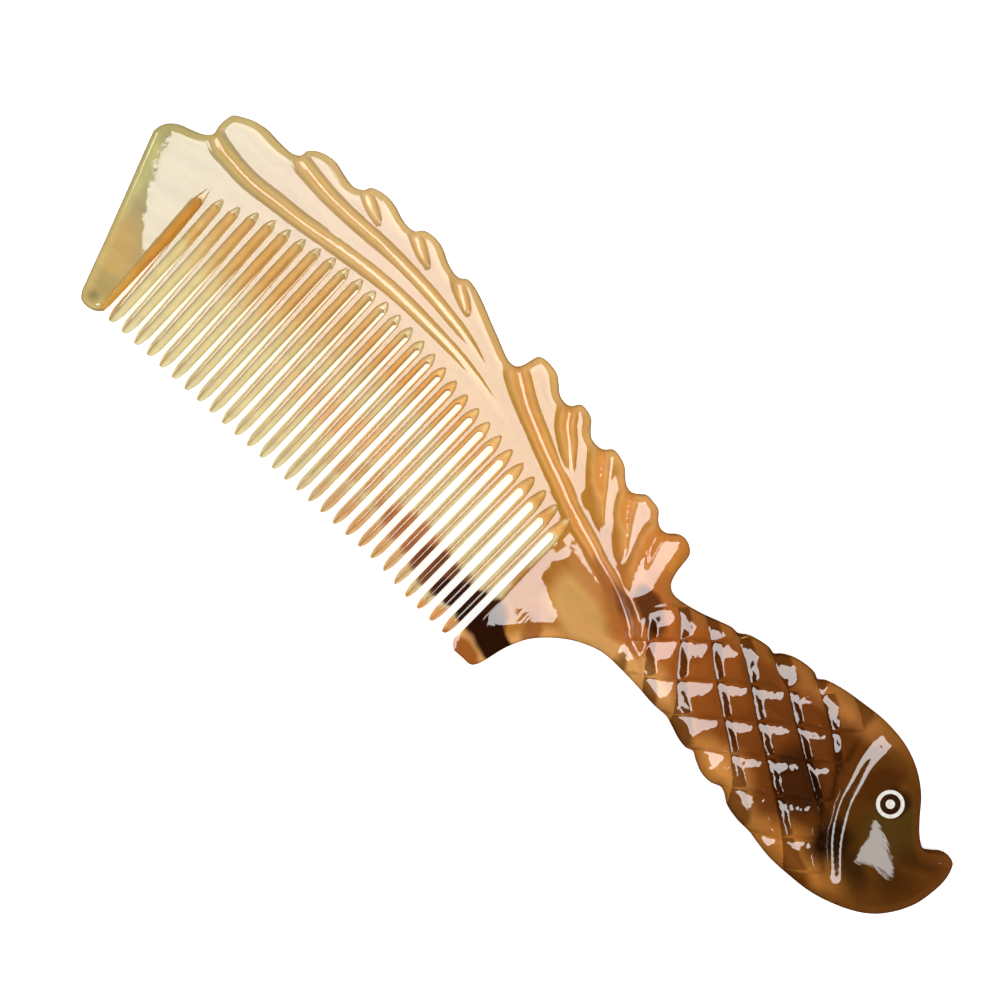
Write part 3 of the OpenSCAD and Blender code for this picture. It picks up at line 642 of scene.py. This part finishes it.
def horn_comb():
    """The whole comb: a sheet of horn in columns and rows, its lower face, and the walls between."""
    places, cut, from_tip, gap_columns = flat_sheet()
    total, rows = cut.shape[0] - 1, cut.shape[1] - 1
    points = places.reshape(-1, 2)
    x, y = points.T
    rim = np.abs(beside(RIM, points)[0])
    reach = np.interp(x, (20, 32), (ROUND_BLADE, ROUND_HANDLE))
    # the last guard is rounded further in towards its foot
    reach = reach + 2.4 * soft_step(x, 5.5, 9.0) * (1 - soft_step(x, 16, 22)) * soft_step(-y, 6.0, 18.0)
    # the teeth and the guards get thinner downwards, the handle doesn't
    turned = 0.38 * soft_step(-y, 4.5, 10) * (1 - soft_step(-y, 15, 19))
    on_guard = 1 - turned * np.clip((x - 3.9) / 10.1, 0, 1)
    share = np.where(x < 14, on_guard, (1 - turned) * np.clip((45 - x) / 31, 0, 1))
    full = MID_Z - (PLATE_T - TIP_T) / 2 * np.clip((TAPER_Y - y) / TAPER_RUN, 0, 1) * share
    half = EDGE_HALF + (full - EDGE_HALF) * np.sqrt(1 - (1 - np.clip(rim / reach, 0, 1)) ** 2)
    left = from_tip.ravel()
    half = half * np.sqrt(1 - 0.75 * np.clip(1 - left / 3.2, 0, 1) ** 2)
    bevel = np.minimum(cut.ravel(), np.maximum(half - 0.25, 0))

    # the first guard droops towards its outer corner, the last one towards its foot
    droop = np.interp(-y, *np.transpose(DROOP)) * np.maximum(0, DROOP_X - x)
    low = np.maximum(0, -17.7 - y) * (x > 3.5)
    droop = droop + np.where(low < 2.5, 0.02 * low**2, 0.125 + 0.1 * (low - 2.5))
    fluted = flutes(points)
    dips = gill(points) + droop + shoulder(points)
    fall, rise, held, scaled = scales(points, rim)
    floor = np.minimum(LEAST_HALF, half)

    def lowered(depth):
        upper = half - bevel - depth
        near = floor + 0.3
        upper = np.where(upper < near, floor + 0.3 * np.exp(np.minimum(0, (upper - near) / 0.3)), upper)
        return np.minimum(upper, half)

    plain = lowered(fluted + dips)
    upper = lowered(fluted + dips + scaled)

    bm = bmesh.new()
    mark = bm.verts.layers.int.new("place")
    bmesh.ops.create_grid(bm, x_segments=total, y_segments=rows, size=1)
    for v in bm.verts:
        c = round((v.co.x + 1) / 2 * total)
        r = round((1 - v.co.y) / 2 * rows)
        v[mark] = c * (rows + 1) + r
    gone = []
    for f in bm.faces:
        ids = [v[mark] for v in f.verts]
        past_knee = min(i % (rows + 1) for i in ids) >= BACK_ROWS
        if past_knee and any(i // (rows + 1) in gap_columns for i in ids):
            gone.append(f)
    bmesh.ops.delete(bm, geom=gone, context="FACES")
    made = bmesh.ops.duplicate(bm, geom=bm.verts[:] + bm.edges[:] + bm.faces[:])
    below = [g for g in made["geom"] if isinstance(g, bmesh.types.BMVert)]
    below_faces = [g for g in made["geom"] if isinstance(g, bmesh.types.BMFace)]
    below_set = set(below)
    above = [v for v in bm.verts if v not in below_set]
    bmesh.ops.reverse_faces(bm, faces=below_faces)
    for v in above:
        i = v[mark]
        v.co = (x[i], y[i], MID_Z + plain[i])
    for v in below:
        i = v[mark]
        v.co = (x[i], y[i], MID_Z - half[i] + bevel[i])
    open_edges = [e for e in bm.edges if e.is_boundary and e.verts[0] not in below_set]
    twin = {v[mark]: v for v in below}
    wall = bmesh.ops.extrude_edge_only(bm, edges=open_edges)
    new = [g for g in wall["geom"] if isinstance(g, bmesh.types.BMVert)]
    bmesh.ops.weld_verts(bm, targetmap={v: twin[v[mark]] for v in new})
    bmesh.ops.recalc_face_normals(bm, faces=bm.faces)
    # directions of the surface before the scales are cut, for the finish to work from
    bm.normal_update()
    before = np.zeros((len(x), 3))
    for v in above:
        before[v[mark]] = v.normal
        v.co.z = MID_Z + upper[v[mark]]
    # the flat of the lower face needs no grid
    stretch = 12
    for start in range(0, total, stretch):
        flat = [f for f in bm.faces if is_flat_below(f, mark, rows, start, start + stretch)]
        if flat:
            bmesh.ops.dissolve_faces(bm, faces=flat, use_verts=False)
    bmesh.ops.transform(bm, matrix=Matrix.Scale(MM, 4), verts=bm.verts)
    for f in bm.faces:
        f.smooth = True
    for e in bm.edges:
        on_face = all(bevel[v[mark]] < 1e-6 for v in e.verts)
        beside_cut = any(bevel[v[mark]] > 1e-6 for f in e.link_faces for v in f.verts)
        sharp = e.calc_face_angle(0) > SHARP or (on_face and beside_cut)
        if e.verts[0].co.x < BLADE_END and sharp:
            e.smooth = False
    mesh = bpy.data.meshes.new("horn_comb")
    bm.to_mesh(mesh)
    bm.free()
    obj = bpy.data.objects.new("horn_comb", mesh)
    bpy.context.collection.objects.link(obj)
    places_of = [0] * len(mesh.vertices)
    mesh.attributes["place"].data.foreach_get("value", places_of)
    numbers = {"rim": rim, "groove": fluted, "fall": fall, "rise": rise, "held": held, "cut": bevel}
    for name, values in numbers.items():
        mesh.attributes.new(name, "FLOAT", "POINT").data.foreach_set("value", values[places_of])
    directions = mesh.attributes.new("before", "FLOAT_VECTOR", "POINT")
    directions.data.foreach_set("vector", before[places_of].ravel())
    return obj


comb = horn_comb()
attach(comb, "root")
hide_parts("comb")


class Socket:
    """A shader value that can be written in sums."""

    def __init__(self, tree, socket):
        self.tree = tree
        self.socket = socket

    def math(self, operation, *values):
        node = self.tree.nodes.new("ShaderNodeMath")
        node.operation = operation
        for slot, value in zip(node.inputs, (self,) + values):
            connect(self.tree, slot, value)
        return Socket(self.tree, node.outputs[0])

    def __add__(self, other):
        return self.math("ADD", other)

    __radd__ = __add__

    def __mul__(self, other):
        return self.math("MULTIPLY", other)

    __rmul__ = __mul__

    def __sub__(self, other):
        return self.math("SUBTRACT", other)

    def __rsub__(self, other):
        return self.math("MULTIPLY_ADD", -1.0, other)


def connect(tree, slot, value):
    if isinstance(value, Socket):
        tree.links.new(value.socket, slot)
    else:
        slot.default_value = value


class Finish:
    """A material under construction: its node tree, and one method that adds a node."""

    def __init__(self, name):
        self.material = bpy.data.materials.new(name)
        self.material.use_nodes = True
        self.tree = self.material.node_tree
        self.tree.nodes.clear()

    def node(self, kind, settings=None, output=0, **values):
        node = self.tree.nodes.new(kind)
        for key, value in (settings or {}).items():
            if key == "stops":
                ramp = node.color_ramp
                while len(ramp.elements) < len(value):
                    ramp.elements.new(0.5)
                for element, (at, colour) in zip(ramp.elements, value):
                    element.position = at
                    element.color = colour
            else:
                setattr(node, key, value)
        for key, value in values.items():
            slot = int(key[1:]) if key[1:].isdigit() else key.replace("_", " ")
            connect(self.tree, node.inputs[slot], value)
        return Socket(self.tree, node.outputs[output])

    def mix(self, first, second, share, blend="MIX"):
        settings = {"data_type": "RGBA", "blend_type": blend}
        return self.node("ShaderNodeMix", settings, output=2, n0=share, n6=first, n7=second)

    def scaled(self, colour, factor):
        return self.node("ShaderNodeVectorMath", {"operation": "SCALE"}, n0=colour, Scale=factor)

    def done(self, shader):
        out = self.tree.nodes.new("ShaderNodeOutputMaterial")
        connect(self.tree, out.inputs[0], shader)
        return self.material


def tone(red, green, blue):
    """Colour as seen on a screen, as the numbers that light is worked out with."""
    parts = [v / 255 for v in (red, green, blue)]
    return tuple(((v + 0.055) / 1.055) ** 2.4 if v > 0.04 else v / 12.92 for v in parts) + (1,)


# base tone of the horn along the comb [x, colour]
ALONG = [
    (-95, (192, 184, 124)), (-86, (194, 178, 132)), (-70, (200, 170, 120)), (-45, (204, 160, 100)),
    (-20, (200, 148, 64)), (0, (202, 142, 54)), (16, (192, 124, 56)), (28, (196, 112, 48)),
    (40, (160, 88, 32)), (55, (128, 68, 24)), (68, (108, 58, 20)), (76, (92, 58, 16)),
    (95, (108, 60, 22)),
]
# the same where it is carved or thin, with the light that comes through it painted in [x, colour]
AMBER_LIGHT_THROUGH = [
    (-95, (206, 196, 128)), (-86, (234, 208, 138)), (-60, (244, 210, 146)), (-20, (244, 196, 126)),
    (4, (244, 188, 112)), (15, (244, 180, 106)), (22, (210, 134, 64)), (30, (178, 114, 56)),
    (45, (162, 100, 40)), (62, (170, 112, 50)), (72, (150, 92, 36)), (80, (116, 68, 22)),
    (95, (128, 76, 34)),
]
# soft clouds over it [x, y, half length, half width, turn in degrees, colour, strength, softness]
GUARD_CLOUDS = [
    (-91.5, 0, 14, 2.6, -73, (216, 210, 142), 0.8, 0.6),
    (-86, -13, 9, 7, -70, (224, 188, 118), 0.9, 0.6), (-83.5, -19, 6, 4, 0, (196, 174, 112), 0.8, 0.8),
    (-83.5, -24.5, 8, 5.4, 0, (120, 112, 60), 0.9, 0.6),
]
# and over the bevels and walls of the teeth: a paler tone, painted light that comes through them
CREAM = (220, 209, 164)
CREAM_CLOUDS = [
    (-62, 3, 38, 13, 2, (214, 180, 116), 1, 0.9), (-25, 4.5, 36, 9, -7, (222, 178, 110), 0.95, 0.8),
    (-80.6, -8, 2.3, 26, 0, (206, 160, 78), 1, 0.5),
    (-22, -21.5, 18, 4.4, 3, (214, 164, 110), 0.8, 0.8), (-34, -8, 22, 5, 4, (226, 176, 122), 0.6, 0.8),
    (-26, -14.5, 14, 4, 3, (214, 166, 114), 0.7, 0.6), (-1, 4, 18, 3, -9, (208, 158, 84), 0.9, 0.8),
]
CLOUDS = [
    # dark band through the last teeth and the guard
    (-15, -15.4, 10, 4.2, 5, (186, 120, 72), 0.9, 0.4),
    (-6.5, -16.4, 8, 4, 4, (128, 70, 34), 0.95, 0.3), (1, -17.4, 9, 3.9, 4, (66, 32, 14), 1, 0.2),
    (7, -20, 8, 3.8, 0, (48, 22, 10), 1, 0.25), (-4, -24.6, 14, 3.3, 3, (224, 166, 104), 0.95, 0.3),
    (6.5, -25.6, 6, 2.4, 0, (170, 96, 38), 0.95, 0.4),
    (13, -13.5, 6, 2.6, -45, (170, 100, 44), 0.8, 0.6),
    # guard and neck
    (7.6, -8, 3.6, 9, 0, (180, 116, 46), 0.9, 0.5), (17, -6, 10, 4.6, -8, (222, 170, 100), 0.95, 0.5),
    (12, -1, 8, 3.2, -14, (206, 142, 82), 0.7, 0.6), (25, -7.4, 10, 2.6, -4, (220, 164, 98), 0.95, 0.6),
    (17, 1, 9, 2.4, -24, (176, 108, 56), 0.8, 0.6), (26, 2.4, 6.5, 3, -18, (100, 52, 26), 0.95, 0.5),
    (22, 0.4, 6, 1.6, -26, (120, 66, 34), 0.8, 0.6), (20.5, 12.5, 4, 4.5, 0, (216, 140, 60), 0.9, 0.6),
    # handle
    (34, -9, 15, 6.2, -4, (240, 176, 102), 0.9, 0.9),
    (53, -11.5, 17, 5.8, -10, (232, 160, 82), 0.9, 0.9),
    (72, -13.2, 15, 5.4, 0, (214, 138, 62), 0.85, 0.9),
    (60, 12.5, 17, 4.6, 2, (200, 130, 66), 0.85, 0.9), (37, 3.5, 3, 7, -30, (124, 66, 24), 0.5, 0.8),
    (63, -3, 9, 5, -38, (62, 30, 12), 0.85, 0.6), (50, 5.5, 10, 4, -20, (116, 64, 24), 0.6, 0.6),
    # head
    (73.5, -7, 4.5, 7, -20, (40, 18, 8), 0.95, 0.6), (81, 2, 8, 7, -30, (88, 64, 24), 0.85, 0.6),
    (76, 9.5, 6, 3.2, -20, (118, 70, 26), 0.8, 0.8), (87, 2, 5, 3, 10, (74, 42, 12), 0.8, 0.8),
    (87, -4, 5, 5, 20, (70, 38, 10), 0.7, 0.8), (79, -7.5, 7, 3, -14, (58, 32, 12), 0.8, 0.8),
    (74, 6, 3, 6, -20, (84, 44, 14), 0.8, 0.6), (82, 11, 9, 2.6, -38, (84, 44, 14), 0.8, 0.8),
    (77.85, 5.25, 3.4, 3.4, 0, (52, 26, 14), 0.9, 0.5),
]


def clouded(finish, colour, place, clouds):
    """Colour with soft clouds laid over it."""
    for cx, cy, long, wide, turn, hue, much, soft in clouds:
        spot = finish.node(
            "ShaderNodeMapping", {"vector_type": "TEXTURE"}, Vector=place, Location=(cx * MM, cy * MM, 0),
            Rotation=(0, 0, math.radians(turn)), Scale=(long * MM, wide * MM, 1),
        )
        mask = finish.node("ShaderNodeTexGradient", {"gradient_type": "SPHERICAL"}, output=1, Vector=spot)
        settings = {"interpolation_type": "SMOOTHSTEP"}
        mask = finish.node("ShaderNodeMapRange", settings, Value=mask, n1=0.0, n2=soft, n4=much)
        colour = finish.mix(colour, tone(*hue), mask)
    return colour


def along(finish, x, rows):
    """Colour by the place along the comb."""
    low, high = rows[0][0], rows[-1][0]
    stops = [((v - low) / (high - low), tone(*c)) for v, c in rows]
    share = (x * (1 / MM) - low) * (1 / (high - low))
    return finish.node("ShaderNodeValToRGB", {"stops": stops}, Fac=share)


def horn():
    """Polished horn: its clouds of colour, the streaks of its growth, painted light through its thin edges
    and cuts, painted shade in its flutes, on its scale walls and along its edge, a painted glow in the
    teeth, and its gloss.
    """
    finish = Finish("polished horn")

    def number(name):
        return finish.node("ShaderNodeAttribute", {"attribute_name": name}, output=2)

    def spread(value, *limits):
        ends = {f"n{k + 1}": v for k, v in enumerate(limits)}
        return finish.node("ShaderNodeMapRange", Value=value, **ends)

    at = finish.node("ShaderNodeTexCoord", output=3)
    drift = finish.node("ShaderNodeTexNoise", output=1, Vector=at, Scale=70.0, Detail=3.0)
    shift = finish.node("ShaderNodeVectorMath", {"operation": "SUBTRACT"}, n0=drift, n1=(0.5, 0.5, 0.5))
    shift = finish.node("ShaderNodeVectorMath", {"operation": "SCALE"}, n0=shift, Scale=0.009)
    place = finish.node("ShaderNodeVectorMath", {"operation": "ADD"}, n0=at, n1=shift)
    x = finish.node("ShaderNodeSeparateXYZ", Vector=place)
    rim = number("rim")
    colour = clouded(finish, along(finish, x, ALONG), place, GUARD_CLOUDS)
    # painted light: amber where the horn is carved or thin, as if light came through it
    open_share = spread(number("groove"), 0.05, 0.6).math("MAXIMUM", spread(rim, 2.6, 0.8))
    colour = finish.mix(colour, along(finish, x, AMBER_LIGHT_THROUGH), open_share * 0.9)
    # painted shade: the bottom of a flute is darker and deeper in tone
    colour = finish.mix(colour, (0.9, 0.74, 0.58, 1), spread(number("groove"), 0.6, 1.0), "MULTIPLY")
    cut = number("cut")
    # painted light: the paler tone of the bevels and walls of the teeth
    bevel_light = clouded(finish, tone(*CREAM), place, CREAM_CLOUDS)
    colour = finish.mix(colour, bevel_light, spread(cut, 0.0, 0.35))
    colour = clouded(finish, colour, place, CLOUDS)
    # painted light: amber along the thin rim of the handle, as if light came through it
    edge = spread(rim, 2.4, 0.7) * spread(x, 0.028, 0.036)
    colour = finish.mix(colour, along(finish, x, AMBER_LIGHT_THROUGH), edge * 0.7)
    # streaks along the grain
    slant = (0, 0, math.radians(8))
    grain_at = finish.node("ShaderNodeMapping", Vector=place, Rotation=slant, Scale=(0.16, 1.0, 0.6))
    grain = finish.node("ShaderNodeTexNoise", Vector=grain_at, Scale=420.0, Detail=4.0, Roughness=0.6)
    colour = finish.scaled(colour, spread(grain, 0.35, 0.75, 1.08, 0.9))
    # painted shade: the darker line of the very edge
    colour = finish.mix(colour, (0.6, 0.56, 0.48, 1), spread(rim, 0.45, 0.1) * 0.8, "MULTIPLY")
    scratch = finish.node("ShaderNodeTexNoise", Vector=at, Scale=2600.0, Detail=2.0)
    rough = spread(scratch, 0.3, 0.8, 0.012, 0.024)
    # the crisp shape of the scales' walls, over the surface as it was before they were cut
    before = finish.node("ShaderNodeAttribute", {"attribute_name": "before"}, output=1)
    settings = {"vector_type": "NORMAL", "convert_from": "OBJECT", "convert_to": "WORLD"}
    before = finish.node("ShaderNodeVectorTransform", settings, Vector=before)
    wander = finish.node("ShaderNodeTexNoise", Vector=at, Scale=500.0, Detail=1.0) * 0.05 - 0.025

    def least(a, b):
        return a.math("SMOOTH_MIN", b, CREST_ROUND)

    steep = spread(rim, *SHALLOW_RIM, *SHALLOW_STEEP)
    held = number("held")
    high, over = scale_relief(
        number("fall") + wander, number("rise") - wander, steep,
        lambda v: v.math("FLOOR"), lambda v: v.math("SQRT"), least,
    )
    high = high.math("MAXIMUM", 0.0)
    # painted shade on the lower walls of the scales, which look into the dark of the horn
    wall_shade = spread(over, -0.05, 0.2) * spread(held, 0.3, 1.0)
    colour = finish.mix(colour, (0.42, 0.36, 0.3, 1), wall_shade, "MULTIPLY")
    # painted glow: light that comes through the bevels and the walls of the teeth, given as emission
    painted_glow = finish.scaled(colour, spread(cut, 0.05, 0.8))
    crisp = finish.node("ShaderNodeBump", Strength=1.0, Distance=MM, Height=high * held, Normal=before)
    geometry = finish.node("ShaderNodeNewGeometry", output=1)
    facing = finish.node("ShaderNodeSeparateXYZ", output=2, Vector=geometry)
    on_top = spread(held, 0.0, 0.03) * spread(facing, 0.05, 0.15)
    settings = {"data_type": "VECTOR"}
    normal = finish.node("ShaderNodeMix", settings, output=1, n0=on_top, n4=geometry, n5=crisp)
    ripple = finish.node("ShaderNodeBump", Strength=1.0, Distance=0.000012, Height=grain, Normal=normal)
    relief = finish.node("ShaderNodeTexNoise", Vector=at, Scale=260.0, Detail=2.0)
    bump = finish.node("ShaderNodeBump", Strength=0.03, Distance=0.0004, Height=relief, Normal=ripple)
    shader = finish.node(
        "ShaderNodeBsdfPrincipled", Base_Color=colour, Roughness=rough, IOR=1.55, Normal=bump,
        Subsurface_Weight=0.35, Subsurface_Radius=(1.0, 0.5, 0.2), Subsurface_Scale=0.0015,
        Emission_Color=painted_glow, Emission_Strength=0.28,
    )
    return finish.done(shader)


comb.data.materials.append(horn())


def inlay():
    """White inlay of the eye, a little uneven in tone."""
    finish = Finish("white inlay")
    at = finish.node("ShaderNodeTexCoord", output=3)
    veins = finish.node("ShaderNodeTexNoise", Vector=at, Scale=1500.0, Detail=3.0)
    share = finish.node("ShaderNodeMapRange", Value=veins, n1=0.45, n2=0.8)
    colour = finish.mix(tone(252, 248, 240), tone(226, 216, 200), share)
    rough = finish.node("ShaderNodeMapRange", Value=veins, n1=0.3, n2=0.8, n3=0.12, n4=0.25)
    return finish.done(finish.node("ShaderNodeBsdfPrincipled", Base_Color=colour, Roughness=rough, IOR=1.5))


white = inlay()
for name in ("eye_ring", "eye_dot"):
    eye_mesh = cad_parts[name].data
    eye_mesh.materials.clear()
    eye_mesh.materials.append(white)


def lay_floor():
    bm = bmesh.new()
    bmesh.ops.create_grid(bm, x_segments=1, y_segments=1, size=1.5)
    mesh = bpy.data.meshes.new("floor")
    bm.to_mesh(mesh)
    bm.free()
    obj = bpy.data.objects.new("floor", mesh)
    bpy.context.collection.objects.link(obj)
    finish = Finish("white floor")
    shader = finish.node(
        "ShaderNodeBsdfPrincipled", Base_Color=(0.9, 0.9, 0.9, 1), Roughness=0.9,
        Emission_Color=(1, 1, 1, 1), Emission_Strength=0.6, Specular_IOR_Level=0.0,
    )
    mesh.materials.append(finish.done(shader))
    obj.visible_glossy = False


def panel(name, size_x, size_y, at, radiance, colour, turn=0, glossy=True, diffuse=True):
    """Light panel that looks down, by its size, its middle in mm and how bright it looks."""
    lamp = bpy.data.lights.new(name, "AREA")
    lamp.shape = "RECTANGLE"
    lamp.size = size_x * MM
    lamp.size_y = size_y * MM
    lamp.energy = radiance * math.pi * size_x * size_y * MM**2
    lamp.color = colour
    obj = bpy.data.objects.new(name, lamp)
    obj.location = [v * MM for v in at]
    obj.rotation_euler = (0, 0, math.radians(turn))
    obj.visible_camera = False
    obj.visible_glossy = glossy
    obj.visible_diffuse = diffuse
    bpy.context.collection.objects.link(obj)
    return obj


def shaped_light(name, corners, height, radiance):
    """Small light panel of its own outline, that only shows as a reflection."""
    bm = bmesh.new()
    bmesh.ops.create_circle(bm, cap_ends=True, segments=len(corners), radius=1)
    for v, (x, y) in zip(bm.verts, corners):
        v.co = (x * MM, y * MM, height * MM)
    mesh = bpy.data.meshes.new(name)
    bm.to_mesh(mesh)
    bm.free()
    obj = bpy.data.objects.new(name, mesh)
    bpy.context.collection.objects.link(obj)
    finish = Finish(name)
    shader = finish.node("ShaderNodeEmission", Color=WARM + (1,), Strength=radiance)
    mesh.materials.append(finish.done(shader))
    obj.visible_camera = False
    obj.visible_diffuse = False
    obj.visible_shadow = False


WARM = (1, 0.98, 0.97)
# how bright the panels look that the polish reflects, and how high they hang
GLOSS = 9.2
PANEL_Z = 406

lay_floor()
panel("softbox", 297, 300, (-114.5, 0, PANEL_Z), GLOSS, WARM, diffuse=False)
panel("softbox foot", 165, 300, (-67.5, -300, PANEL_Z), GLOSS, WARM, diffuse=False)
panel("softbox head", 165, 300, (-67.5, 300, PANEL_Z), GLOSS, WARM, diffuse=False)
panel("strip", 300, 130, (-560, -90, PANEL_Z), 7.0, WARM, diffuse=False)
# outline of the light that the cheek of the fish reflects [x, y]
CATCH = [
    (102.7, 2.3), (105.1, 1.9), (108.9, -0.1), (114.5, -4.6), (113.4, -5.7), (110, -5.7), (105.6, -7.5),
    (104.2, -2.6),
]
shaped_light("catch light", CATCH, 66, 7.5)
panel("fill", 500, 500, (0, 0, 450), 3.2, (1, 0.99, 0.97), glossy=False)

world = bpy.data.worlds.new("studio")
bpy.context.scene.world = world
world.use_nodes = True
world.node_tree.nodes["Background"].inputs[0].default_value = (1, 1, 1, 1)
world.node_tree.nodes["Background"].inputs[1].default_value = 0.9
# the panels light the comb, the pale surroundings are only seen
world.cycles_visibility.diffuse = False
world.cycles_visibility.glossy = False
world.cycles_visibility.transmission = False
world.cycles_visibility.scatter = False

lens = bpy.data.cameras.new("camera")
lens.lens = 42.2
lens.sensor_width = 36
lens.clip_start = 0.01
camera = bpy.data.objects.new("camera", lens)
camera.location = (-7.08 * MM, -0.787 * MM, 208.25 * MM)
camera.rotation_euler = (0, 0, math.radians(42))
bpy.context.collection.objects.link(camera)
bpy.context.scene.camera = camera
bpy.context.scene.view_settings.view_transform = "Standard"
bpy.context.scene.cycles.use_denoising = True
